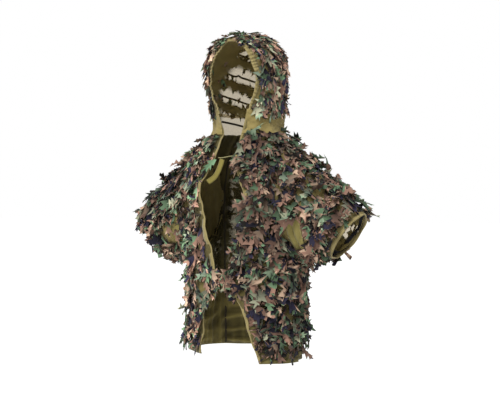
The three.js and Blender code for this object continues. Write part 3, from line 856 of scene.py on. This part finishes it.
def make_straps():
    def rows(heights, keep, line):
        """The stretches of straps at heights, just above the cloth, that keep holds."""
        found = []
        for height in heights:
            path, normal = line(height)
            found += runs(path + normal * STRAP_LIFT, normal, keep(path))
        return found

    lines = rows(BODY_ROWS, body_keep, lambda z: line_on(body_surface, 0.0, math.pi, 90, z))
    strap_object("back_row_straps", "jacket", lines, "back_webbing")
    for name, side in SIDES.items():
        lines = rows(BODY_ROWS, body_keep,
                     lambda z: line_on(body_surface, edge_angle(side, z, 0.012), side_seam(side), 50, z))
        strap_object(f"{name}_front_row_straps", f"{name}_front", lines, f"{name}_front_webbing",
                     f"{name}_flap_webbing")
        lines = rows((1.2, 2.0, 2.8, 3.6), lambda path: ~is_inside(BODY_TREE, path) & is_clothed(path),
                     lambda t: line_on(sleeve_surface(side), 0, 2 * math.pi, 90, t))
        strap_object(f"{name}_sleeve_row_straps", f"{name}_arm", lines, f"{name}_sleeve_webbing")
    path, normal = line_on(body_surface, 0.1, math.pi - 0.1, 80, 0.0)
    lean = path + np.array(UP) * (-0.002 - HOOD_TILT * path[:, :1])
    strap_object("neck_band_inner_seam", "neck", [(lean - normal * STRAP_LIFT, normal)])
    lines = rows(HOOD_STRAPS, lambda path: off_face(path, 0.014), lambda z: hood_ring(z, True, 140))
    strap_object("hood_row_straps", "hood", lines, "hood_webbing")


def hood_level(points):
    """How high points are on the hood, counted along its sewn rows: these drop to the wearer's left and rear."""
    return points[..., 2] + HOOD_TILT * points[..., 0] + HOOD_LEAN * points[..., 1]


def hood_ring(z, sloped, count):
    """A line round the hood at a height, level or sloped like the sewn rows."""
    angle = np.linspace(-math.pi / 2, 1.5 * math.pi, count)
    v = np.full(count, hood_v(z))
    for _ in range(4):
        points = hood_point(angle, v)
        v = v + (z - (hood_level(points) if sloped else points[:, 2])) / 0.16
        v = np.clip(v, 0.02, 1.9)
    return hood_surface(angle, v)


def hood_v(z):
    """The hood's v at a height, in its straight part or its dome."""
    start = HOOD[-1, 0]
    if z < start:
        return (z - HOOD_LOW_Z) / (start - HOOD_LOW_Z)
    return 1 + math.asin(min((z - start) / DOME_HEIGHT, 0.999) ** (DOME_POWER / 2)) / (math.pi / 2)


def runs(path, normal, keep):
    """The stretches of a line that keep holds, each at least four points long."""
    found, start = [], None
    for i, on in enumerate([*keep, False]):
        if on and start is None:
            start = i
        if not on and start is not None:
            if i - start >= 4:
                found.append((path[start:i], normal[start:i]))
            start = None
    return found


# ---------------------------------------------------------------- leaves

# Leaf outlines as stations along the midrib, in hundredths of a leaf's length: midrib place, then the place and
# half width of each edge.
LEAF_SHAPES = [
    [(0, 0, 5, 0, 5), (14, 20, 12, 16, 12), (24, 44, 33, 36, 27), (34, 38, 10, 36, 11), (46, 70, 34, 62, 30),
     (58, 60, 11, 58, 12), (72, 94, 22, 84, 20), (84, 84, 7, 82, 8), (100, 104, 1, 104, 1)],
    [(0, 0, 6, 0, 6), (12, 10, 26, 14, 18), (26, 26, 12, 28, 12), (40, 58, 40, 50, 44), (54, 54, 15, 54, 14),
     (70, 86, 22, 90, 24), (84, 82, 8, 84, 8), (100, 106, 1, 106, 1)],
    [(0, 0, 5, 0, 5), (16, 30, 20, 14, 14), (30, 32, 9, 34, 24), (44, 60, 24, 42, 10), (58, 58, 9, 72, 26),
     (72, 88, 20, 68, 9), (86, 84, 7, 96, 12), (100, 106, 1, 106, 1)],
    [(0, 0, 8, 0, 8), (20, 36, 30, 24, 24), (36, 38, 15, 38, 13), (52, 82, 36, 66, 38), (66, 64, 13, 64, 14),
     (82, 100, 16, 96, 18), (100, 94, 2, 94, 2)],
    [(0, 0, 4, 0, 4), (20, 18, 13, 22, 11), (40, 52, 19, 38, 12), (60, 58, 9, 74, 18), (80, 84, 10, 78, 7),
     (100, 108, 1, 108, 1)],
]


def leaf_template(shape):
    """(local points, triangles) of one flat leaf: x along the midrib, y across it, both in leaf lengths."""
    rows = np.array(shape) / 100
    k = len(rows)
    mid = np.stack([rows[:, 0], np.zeros(k)], 1)
    right = np.stack([rows[:, 3], -rows[:, 4]], 1)
    faces = []
    for i in range(k - 1):
        l, r = k + i, 2 * k + i
        faces += [(i, i + 1, l), (i + 1, l + 1, l), (i, r, i + 1), (i + 1, r, r + 1)]
    return np.concatenate([mid, rows[:, 1:3], right]), np.array(faces)


TEMPLATES = [leaf_template(s) for s in LEAF_SHAPES]


def held_down(height, reach):
    """Heights above the cloth, kept off the cloth below and gently held under the reach above."""
    return np.where(height > 0, reach * np.tanh(height / reach), np.maximum(height, -0.001))


class Growth:
    """How one group of leaves hangs. Angles are in degrees and lengths in metres."""

    # bright is the range of each leaf's tone: random, and set higher for some groups as painted light.
    spread, droop, lift, fold = 46, 50, (0, 30), (-48, 74)
    length, reach, flatten, bright = (0.042, 0.086), 0.027, 0.3, (0.42, 1.3)

    def __init__(self, **changed):
        for key, value in changed.items():
            setattr(self, key, value)


def leaves_object(name, base, normal, down, rng, growth, fits=None, material="leaf"):
    """One mesh of creased, curled leaves. Each starts at a base point and hangs along the surface, mostly down.
    fits says which leaf tips are allowed; a leaf that isn't is shortened, and dropped if that isn't enough."""
    count = len(base)
    spin = np.radians(rng.normal(0, growth.spread, count))
    heading = unit(down * np.cos(spin)[:, None] + np.cross(normal, down) * np.sin(spin)[:, None])
    rise = np.radians(rng.uniform(*growth.lift, count) + growth.droop * np.clip(-normal[:, 2], 0, 1))
    curl = np.radians(rng.normal(-4, 38, count) - growth.flatten * 20)
    twist, roll = np.radians(rng.normal(0, 50, count)), np.radians(rng.normal(0, 24, count))
    fold = np.radians(rng.uniform(*growth.fold, count))
    size = rng.uniform(*growth.length, count)
    kind = rng.integers(0, len(TEMPLATES), count)
    offset, turn = rng.uniform(0, 9, (count, 2)), rng.uniform(0, 2 * math.pi, count)
    pale, bright = rng.uniform(0, 1, count), rng.uniform(*growth.bright, count)
    wide = rng.uniform(0.75, 1.2, count)
    good = np.ones(count, bool)
    if fits is not None:
        for _ in range(2):
            bad = ~fits(base + heading * (size * 0.92)[:, None])
            size[bad] *= 0.66
        good = fits(base + heading * (size * 0.92)[:, None])
    leaf = (base, normal, heading, rise, curl, twist, roll, fold, size, offset, turn, pale, bright, size * wide)
    points, faces, uvs, tones, start = [], [], [], [], 0
    for k, (flat, triangles) in enumerate(TEMPLATES):
        pick = np.nonzero(good & (kind == k))[0]
        if not len(pick):
            continue
        b, n, h, r, c, t, a, f, s, o, turned, faded, lit, w = (values[pick][:, None] for values in leaf)
        x, y = np.moveaxis(flat + rng.normal(0, 0.026, (len(pick), *flat.shape)), -1, 0)
        crumple = 0.05 * np.sin(8 * x + 6 * y + turned * 3)
        c = np.where(np.abs(c) < 0.02, 0.02, c)
        slope = r + c * x
        forward = s * (np.sin(slope) - np.sin(r)) / c
        upward = s * (np.cos(r) - np.cos(slope)) / c
        angle = a + t * x
        bow = np.abs(y) * np.sin(f) + 0.5 * y * y * np.sin(3 * f)
        narrow = np.cos(f * 0.8)
        across = w * (y * narrow * np.cos(angle) - bow * np.sin(angle))
        above = w * (y * narrow * np.sin(angle) + bow * np.cos(angle) + crumple * x)
        put = (b + h * (forward - above * np.sin(slope))[..., None]
               + n * held_down(upward + above * np.cos(slope), growth.reach)[..., None]
               + np.cross(n, h) * across[..., None])
        points.append(put.reshape(-1, 3))
        faces.append((triangles[None] + start + np.arange(len(pick))[:, None, None] * len(flat)).reshape(-1, 3))
        start += len(pick) * len(flat)
        ct, st, px, py = np.cos(turned), np.sin(turned), x * s, y * s
        uvs.append((np.stack([px * ct - py * st, px * st + py * ct], -1) + o).reshape(-1, 2))
        # Painted shade: each leaf darkens towards its base, where the leaves above would shade it.
        shade = lit * (0.16 + 0.84 * np.clip(x * 1.5, 0, 1))
        tones.append(np.stack([np.broadcast_to(faded, shade.shape), shade], -1).reshape(-1, 2))
    return new_mesh(name, *(np.concatenate(part) for part in (points, faces, uvs, tones)), MATERIALS[material])


def hang_leaves(name, body, base, normal, down, rng, growth, fits, *replaced):
    """A group of leaves sewn a little above the cloth, as a piece."""
    obj = leaves_object(name, base + normal * LEAF_LIFT, normal, down, rng, growth, fits)
    place(obj, body, "leaf_cloth", *replaced)


def down_direction(normal):
    """Straight down, laid in the surface."""
    return unit(laid(DOWN, normal), 1e-6)


def laid(direction, normal):
    """A direction laid in the surface, without the part along its normal."""
    way = np.tile(direction, (len(normal), 1))
    return way - normal * (way * normal).sum(1, keepdims=True)


def scattered(path, angle, spacing, rng):
    """Angles of places along a line, a spacing apart with some scatter."""
    length = run_length(path)
    count = max(int(length[-1] / spacing), 1)
    along = (np.arange(count) + 0.5) * length[-1] / count + rng.normal(0, 0.35 * spacing, count)
    return np.interp(along, length, angle)


def body_leaf_bases(rng, start, end, heights, spacing):
    """Leaf places in rows round the body, from an angle that may be a function of height to another."""
    points, normals = [], []
    for height in heights:
        angle = np.linspace(start(height) if callable(start) else start, end, 300)
        angle = scattered(body_point(angle, np.full(300, height)), angle, spacing, rng)
        p, n = body_surface(angle, height + rng.normal(0, 0.008, len(angle)))
        keep = body_keep(p) & is_clothed(p)
        points.append(p[keep])
        normals.append(n[keep])
    return np.concatenate(points), np.concatenate(normals)


def edge_leaf_bases(rng, side, low, high, count):
    """Leaf places close to one front edge, and a direction for each that leans across the opening."""
    z = rng.uniform(low, high, count)
    p, n = body_surface(edge_angle(side, z, 0.006), z)
    lean = down_direction(n) * 0.8 + np.array([-side, 0, 0]) * rng.uniform(0.1, 0.9, count)[:, None]
    return p, n, unit(lean)


# Extra leaves along each front edge: lowest and highest place and how many.
EDGE_LEAVES = {"left": [(-0.60, -0.46, 26), (-0.46, -0.26, 24), (-0.19, -0.03, 12)],
               "right": [(-0.58, -0.46, 22), (-0.74, -0.60, 8), (-0.14, -0.02, 16)]}
# The lowest leaf tips, how far the rows start from the edge and the range of the leaves' tone, on each front;
# the wearer's right front is given brighter leaves as painted light.
LEAF_MARGIN = {"left": 0.008, "right": 0.014}
FRONT_BRIGHT = {"left": (0.34, 1.3), "right": (0.6, 2.7)}
LEAF_LOW_Z = {"left": -0.792, "right": -0.778}


def edge_overhang(side, z):
    """How far leaves may reach past a front edge at each height: far at the waist, little over the chest."""
    rows = np.array([
        [-0.80, -0.004, 0.010], [-0.61, -0.004, 0.010], [-0.57, 0.040, 0.030], [-0.49, 0.036, 0.030],
        [-0.44, 0.030, -0.004], [-0.22, 0.030, -0.006], [-0.15, 0.022, -0.004], [0.0, 0.006, -0.004]])
    return np.interp(z, rows[:, 0], rows[:, 1 if side > 0 else 2])


def leaf_heights(low):
    """Heights of leaf rows down to a lowest, closer together over the slope of the shoulders."""
    return np.concatenate([np.arange(-0.022, SHOULDER_Z, -0.013), np.arange(SHOULDER_Z, low, -0.029)])


def make_leaves():
    rng = np.random.default_rng(453)
    base, normal = body_leaf_bases(rng, 0.0, math.pi, leaf_heights(HEM_Z + 0.035), 0.015)
    seam = (np.abs(np.abs(base[:, 0]) - BACK_SEAM_X) < 0.022) & (base[:, 2] > -0.5)
    seam &= rng.uniform(size=len(base)) < 0.6
    base, normal = base[~seam], normal[~seam]
    hang_leaves("back_leaf_cloth", "jacket", base, normal, down_direction(normal), rng, Growth(),
                lambda tip: (tip[:, 2] > HEM_Z + HEM_TURN) & body_keep(tip), "back_leaf_rows")
    for name, side in SIDES.items():
        base, normal = body_leaf_bases(rng, lambda z: edge_angle(side, z, LEAF_MARGIN[name]), side_seam(side),
                                       leaf_heights(FRONT_HEM_Z[name] + 0.03), 0.0138)
        lean = down_direction(normal)
        for low, high, count in EDGE_LEAVES[name]:
            extra = edge_leaf_bases(rng, side, low, high, count)
            base, normal, lean = (np.concatenate(pair) for pair in zip((base, normal, lean), extra))
        fits = lambda tip: ((tip[:, 2] > LEAF_LOW_Z[name]) & is_clothed(tip) & body_keep(tip)
                            & (side * tip[:, 0] > opening_half(side, tip[:, 2]) - edge_overhang(side, tip[:, 2])))
        hang_leaves(f"{name}_front_leaf_cloth", f"{name}_front", base, normal, lean, rng,
                    Growth(bright=FRONT_BRIGHT[name]), fits,
                    f"{name}_front_leaf_rows", f"{name}_flap_leaf_rows")
        make_sleeve_leaves(name, side, rng)
    make_hood_leaves(rng)


def cuff_plane(side):
    """A point in the cuff's mouth and the way out of it."""
    x0, z0, x1, z1, _, y = SLEEVE[int(CUFF)]
    out = np.array([side * abs(z1 - z0), 0.0, -abs(x1 - x0)])
    return np.array([side * (x0 + x1) / 2, y, (z0 + z1) / 2]), unit(out)


def make_sleeve_leaves(name, side, rng):
    points, normals = [], []
    for t in np.arange(0.6, CUFF - 0.05, 0.27):
        angle = np.arange(0, 2 * math.pi, 0.12)
        angle = angle + rng.normal(0, 0.05, len(angle))
        p, n = sleeve_surface(side)(angle, t + rng.normal(0, 0.07, len(angle)))
        keep = ~is_inside(BODY_TREE, p) & (p[:, 0] * side > 0.12) & is_clothed(p)
        points.append(p[keep])
        normals.append(n[keep])
    base, normal = np.concatenate(points), np.concatenate(normals)
    down = unit(down_direction(normal) * 0.75 + laid([side * 0.75, 0.0, -0.66], normal) * 0.45)
    middle, out = cuff_plane(side)
    high = middle[2] + 0.055
    keep = ~near_lights(base, 0.030)
    limits = (0.012, 0.016)
    if side > 0:
        keep &= (base - middle) @ out <= np.where((base[:, 1] < 0.02) & (base[:, 2] < high), -0.034, -0.022)
        limits = (0.004, -0.004)
    fits = lambda tip: (((tip - middle) @ out < np.where(tip[:, 2] > high, *limits) + 0.030 * (tip[:, 1] > 0.05))
                        & is_clothed(tip) & ~near_lights(tip, 0.006) & ~is_inside(BODY_TREE, tip))
    hang_leaves(f"{name}_sleeve_leaf_cloth", f"{name}_arm", base[keep], normal[keep], down[keep], rng,
                Growth(lift=(2, 28), bright=(0.45, 1.5)), fits, f"{name}_sleeve_leaf_rows")


def make_leaf_bands(rng):
    """The whole part of each leaf strip on the hood's rear, with a ragged edge above and below."""
    bands = []
    for i, z in enumerate(HOOD_REAR_ROWS):
        middle, normal = hood_ring(z - 0.012, True, 260)
        on = rear_share(middle) > REAR_EDGE
        middle, normal = middle[on], normal[on]
        ragged = rng.uniform(0.009, 0.014, (2, len(middle)))
        heights = np.stack([-ragged[0], np.zeros(len(middle)), ragged[1]])
        points = middle + down_direction(normal) * heights[..., None] + normal * 0.0030
        uv = np.stack(np.broadcast_arrays(np.arange(len(middle)) * 0.0026 + 3 * i, heights), -1)
        tone = np.broadcast_to([0.2, 0.7], uv.shape)
        bands.append(new_mesh(f"leaf_band_{i}", points.reshape(-1, 3), grid_faces(3, len(middle)),
                              uv.reshape(-1, 2), tone.reshape(-1, 2), MATERIALS["leaf"]))
    return bands


def make_hood_leaves(rng):
    """Sparse rows on the hood's sides and back, between the straps, and close cover over the crown."""
    # Each row: height, sloped like the straps or level, spacing, scatter up and down, 1 where its leaves point up,
    # and whether it is on the hood's rear (True), its sides (False) or all round (None).
    rows = [row for z in HOOD_REAR_ROWS
            for row in ((z - 0.008, True, 0.0120, 0.004, 0.0, True), (z - 0.016, True, 0.0170, 0.004, 1.0, True))]
    rows += [(z, False, 0.0115, 0.006, 0.0, False) for z in HOOD_SIDE_ROWS]
    rows += [(z, False, 0.012, 0.006, 0.0, None) for z in CROWN_ROWS]
    found = []
    for z, sloped, spacing, jitter, upward, rear in rows:
        path, _ = hood_ring(z, sloped, 240)
        angle = scattered(path, np.linspace(-math.pi / 2, 1.5 * math.pi, 240), spacing, rng)
        count = len(angle)
        p = hood_point(angle, np.full(count, hood_v(z)))
        drop = HOOD_TILT * p[:, 0] + HOOD_LEAN * p[:, 1] if sloped else np.zeros(count)
        v = np.array([hood_v(height) for height in z - drop + rng.normal(0, jitter, count)])
        p, n = hood_surface(angle, v)
        on = off_face(p, np.where(p[:, 2] > 0.26, 0.004, 0.014)) & is_clothed(p)
        if rear is None:
            on &= (p[:, 1] < 0.05) | (rng.uniform(size=count) < 0.5)
        else:
            on &= (rear_share(p) > REAR_EDGE) == rear
        found.append((p[on], n[on], np.full(on.sum(), upward)))
    base, normal, up = (np.concatenate(part) for part in zip(*found))
    down = down_direction(normal) * np.where(up > 0.5, -1.0, 1.0)[:, None]
    back = (rear_share(base) > REAR_EDGE) & (base[:, 2] < 0.268)
    crown = ~back & (base[:, 2] > CROWN_Z)
    fits = lambda tip: (off_face(tip, np.where((tip[:, 2] > 0.255) & (tip[:, 0] > -0.02), -0.006, 0.010))
                        & (tip[:, 2] > 0.022) & is_clothed(tip))
    # The hood's side and crown leaves are given a brighter tone as painted light.
    groups = [(~back & ~crown, Growth(spread=32, lift=(0, 14), length=(0.042, 0.078), flatten=1.2, reach=0.014,
                                      bright=(0.68, 2.3))),
              (crown, Growth(spread=40, lift=(0, 8), length=(0.034, 0.058), flatten=1.2, reach=0.011,
                             bright=(0.68, 2.2))),
              (back, Growth(spread=30, lift=(0, 4), length=(0.034, 0.048), flatten=0.6, fold=(-4, 4)))]
    base = base + normal * HOOD_LEAF_LIFT
    made = [leaves_object("hood_leaves", base[on], normal[on], down[on], rng, growth, fits) for on, growth in groups]
    place(join_objects([*made, *make_leaf_bands(rng)], "hood_leaf_cloth"), "hood", "leaf_cloth", "hood_leaf_rows")


# ---------------------------------------------------------------- small pieces

def make_patches():
    for name, side in SIDES.items():
        low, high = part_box(f"{name}_underarm_patch")
        angle, t = np.linspace(-1.2, -2.9, 50)[None, :], np.linspace(1.0, 2.4, 36)[:, None]
        points, normal = sleeve_surface(side)(angle, t)
        points = points + normal * 0.0050
        x, z = points[..., 0], points[..., 2]
        keep = (x > low.x) & (x < high.x) & (z > low.z) & (z < high.z)
        grid_object(f"{name}_underarm_cloth", f"{name}_arm", points, f"{name}_underarm_patch", keep=keep,
                    cloth="olive", inner="olive", slot="olive_tape")


# The tie across the throat and the tab that hangs under it, along the routes of the CAD part.
TIE_ROUTE = MM * np.array([[-36.5, -146, -98], [-18, -151, -99], [4, -153, -96], [29.5, -146, -92]])
TAB_ROUTE = MM * np.array([[-18, -150, -104], [-27, -151, -130], [-44, -150, -158], [-66, -151, -180]])


def spline(points, count):
    """A smooth line through a few points, by Catmull-Rom."""
    p = np.concatenate([[2 * points[0] - points[1]], points, [2 * points[-1] - points[-2]]])
    found = []
    for s in np.linspace(0, len(points) - 1 - 1e-9, count):
        i, f = int(s), s - int(s)
        a, b, c, d = p[i:i + 4]
        found.append(0.5 * (2 * b + (c - a) * f + (2 * a - 5 * b + 4 * c - d) * f ** 2
                            + (3 * b - a - 3 * c + d) * f ** 3))
    return np.array(found)


def make_tie():
    line = spline(TIE_ROUTE, 60)
    along = unit(np.gradient(line, axis=0))
    side_way = unit(np.cross(along, np.tile(UP, (len(line), 1))))
    up = np.cross(side_way, along)
    turn = np.linspace(0, 2 * math.pi * 7, len(line))
    ring = [(0.00095 * math.cos(a), 0.00095 * math.sin(a)) for a in np.linspace(0, 2 * math.pi, 8, endpoint=False)]
    strands = []
    for k in range(2):
        shift = turn + k * math.pi
        path = line + 0.00085 * (side_way * np.cos(shift)[:, None] + up * np.sin(shift)[:, None])
        strands.append(sweep(f"strand_{k}", path, side_way, up, ring, "cord"))
    obj = join_objects(strands, "throat_tie")
    place(obj, "jacket", "tie_cord", "throat_tie_cord")


def make_tab():
    line = spline(TAB_ROUTE, 40)
    front = np.tile([0.0, -1.0, 0.0], (len(line), 1))
    across = edge_frames(line, front)
    share = np.linspace(0, 1, len(line))
    line = line + front * (0.010 * np.clip(share - 0.7, 0, 1) ** 1.5 * 8)[:, None]
    profile = [(TAB_WIDTH / 2 * s, 0.0009 * h) for s, h in (
        (1, 1), (0.6, 1.2), (0, 1.25), (-0.6, 1.2), (-1, 1), (-1, -1), (0, -0.8), (1, -1))]
    place(sweep("throat_hanging_tab", line, across, front, profile, "tab"), "throat_tab", "olive_tape", "throat_tab")


def make_throat_leaf():
    """The pale strip of leaf cloth that is caught in the knot of the tie."""
    start, end = np.array([[-0.040, -0.156, -0.104]]), np.array([-0.096, -0.156, -0.143])
    growth = Growth(spread=1, lift=(2, 4), length=(0.066, 0.067), flatten=0.0, fold=(20, 24))
    obj = leaves_object("throat_leaf_strip", start, np.array([[0.0, -1.0, 0.0]]), unit(end - start),
                        np.random.default_rng(7), growth, material="pale_leaf")
    place(obj, "jacket", "leaf_cloth")


# ---------------------------------------------------------------- camera, light and floor

CAMERA_AZIMUTH = math.radians(31)
CAMERA_DISTANCE = 3.37
CAMERA_HEIGHT = -0.24
LENS = 70


def make_camera():
    camera = bpy.data.cameras.new("camera")
    camera.lens, camera.sensor_width = LENS, 36
    obj = link_object("camera", camera)
    a = CAMERA_AZIMUTH
    obj.location = (CAMERA_DISTANCE * math.sin(a), -CAMERA_DISTANCE * math.cos(a), CAMERA_HEIGHT)
    obj.rotation_euler = (math.pi / 2, 0, a)
    bpy.context.scene.camera = obj


ROOM_LIGHT = 0.37
KEY_LIGHT = 3.6
KEY_AZIMUTH = 4
KEY_ELEVATION = 46


def make_stage():
    world = bpy.data.worlds.new("studio")
    bpy.context.scene.world = world
    n = Nodes(world)
    room, seen = (n.add("ShaderNodeBackground", {"Color": (1, 1, 1, 1), "Strength": strength}).outputs[0]
                  for strength in (ROOM_LIGHT, 1.0))
    by_camera = n.add("ShaderNodeLightPath").outputs["Is Camera Ray"]
    n.add("ShaderNodeOutputWorld", {0: n.add("ShaderNodeMixShader", {0: by_camera, 1: room, 2: seen}).outputs[0]})
    bpy.context.scene.view_settings.view_transform = "Standard"
    light = bpy.data.lights.new("soft_key", "SUN")
    light.energy, light.angle = KEY_LIGHT, math.radians(32)
    a, e = math.radians(KEY_AZIMUTH), math.radians(KEY_ELEVATION)
    towards = Vector((math.sin(a) * math.cos(e), -math.cos(a) * math.cos(e), math.sin(e)))
    link_object("soft_key", light).rotation_euler = towards.to_track_quat("Z", "Y").to_euler()
    n = new_material("floor")
    n.add("ShaderNodeOutputMaterial", {0: n.add("ShaderNodeBsdfDiffuse", {0: (0.97, 0.97, 0.97, 1)}).outputs[0]})
    corners = [(-FLOOR_HALF, -FLOOR_HALF, 0), (FLOOR_HALF, -FLOOR_HALF, 0), (FLOOR_HALF, FLOOR_HALF, 0),
               (-FLOOR_HALF, FLOOR_HALF, 0)]
    floor = new_mesh("floor", corners, [(0, 1, 2, 3)], material=n.owner)
    floor.location.z = cad_box[0].z - 0.55


make_camera()
make_tie()
make_back()
make_back_seams()
for side_name, side_sign in SIDES.items():
    make_front(side_name, side_sign)
    make_sleeve(side_name, side_sign)
    make_front_tape(side_name, side_sign)
    make_cuff(side_name, side_sign)
make_hood()
make_neck_band()
make_face_tape()
make_hem_tape("back_hem_edge_tape", "jacket", -0.1, math.pi + 0.1, HEM_Z, "back_hem_tape")
for side_name, side_sign in SIDES.items():
    make_hem_tape(f"{side_name}_hem_edge_tape", f"{side_name}_flap", edge_angle(side_sign, FRONT_HEM_Z[side_name]),
                  side_seam(side_sign, -0.1), FRONT_HEM_Z[side_name])
make_straps()
make_patches()
make_tab()
make_throat_leaf()
make_leaves()
make_stage()
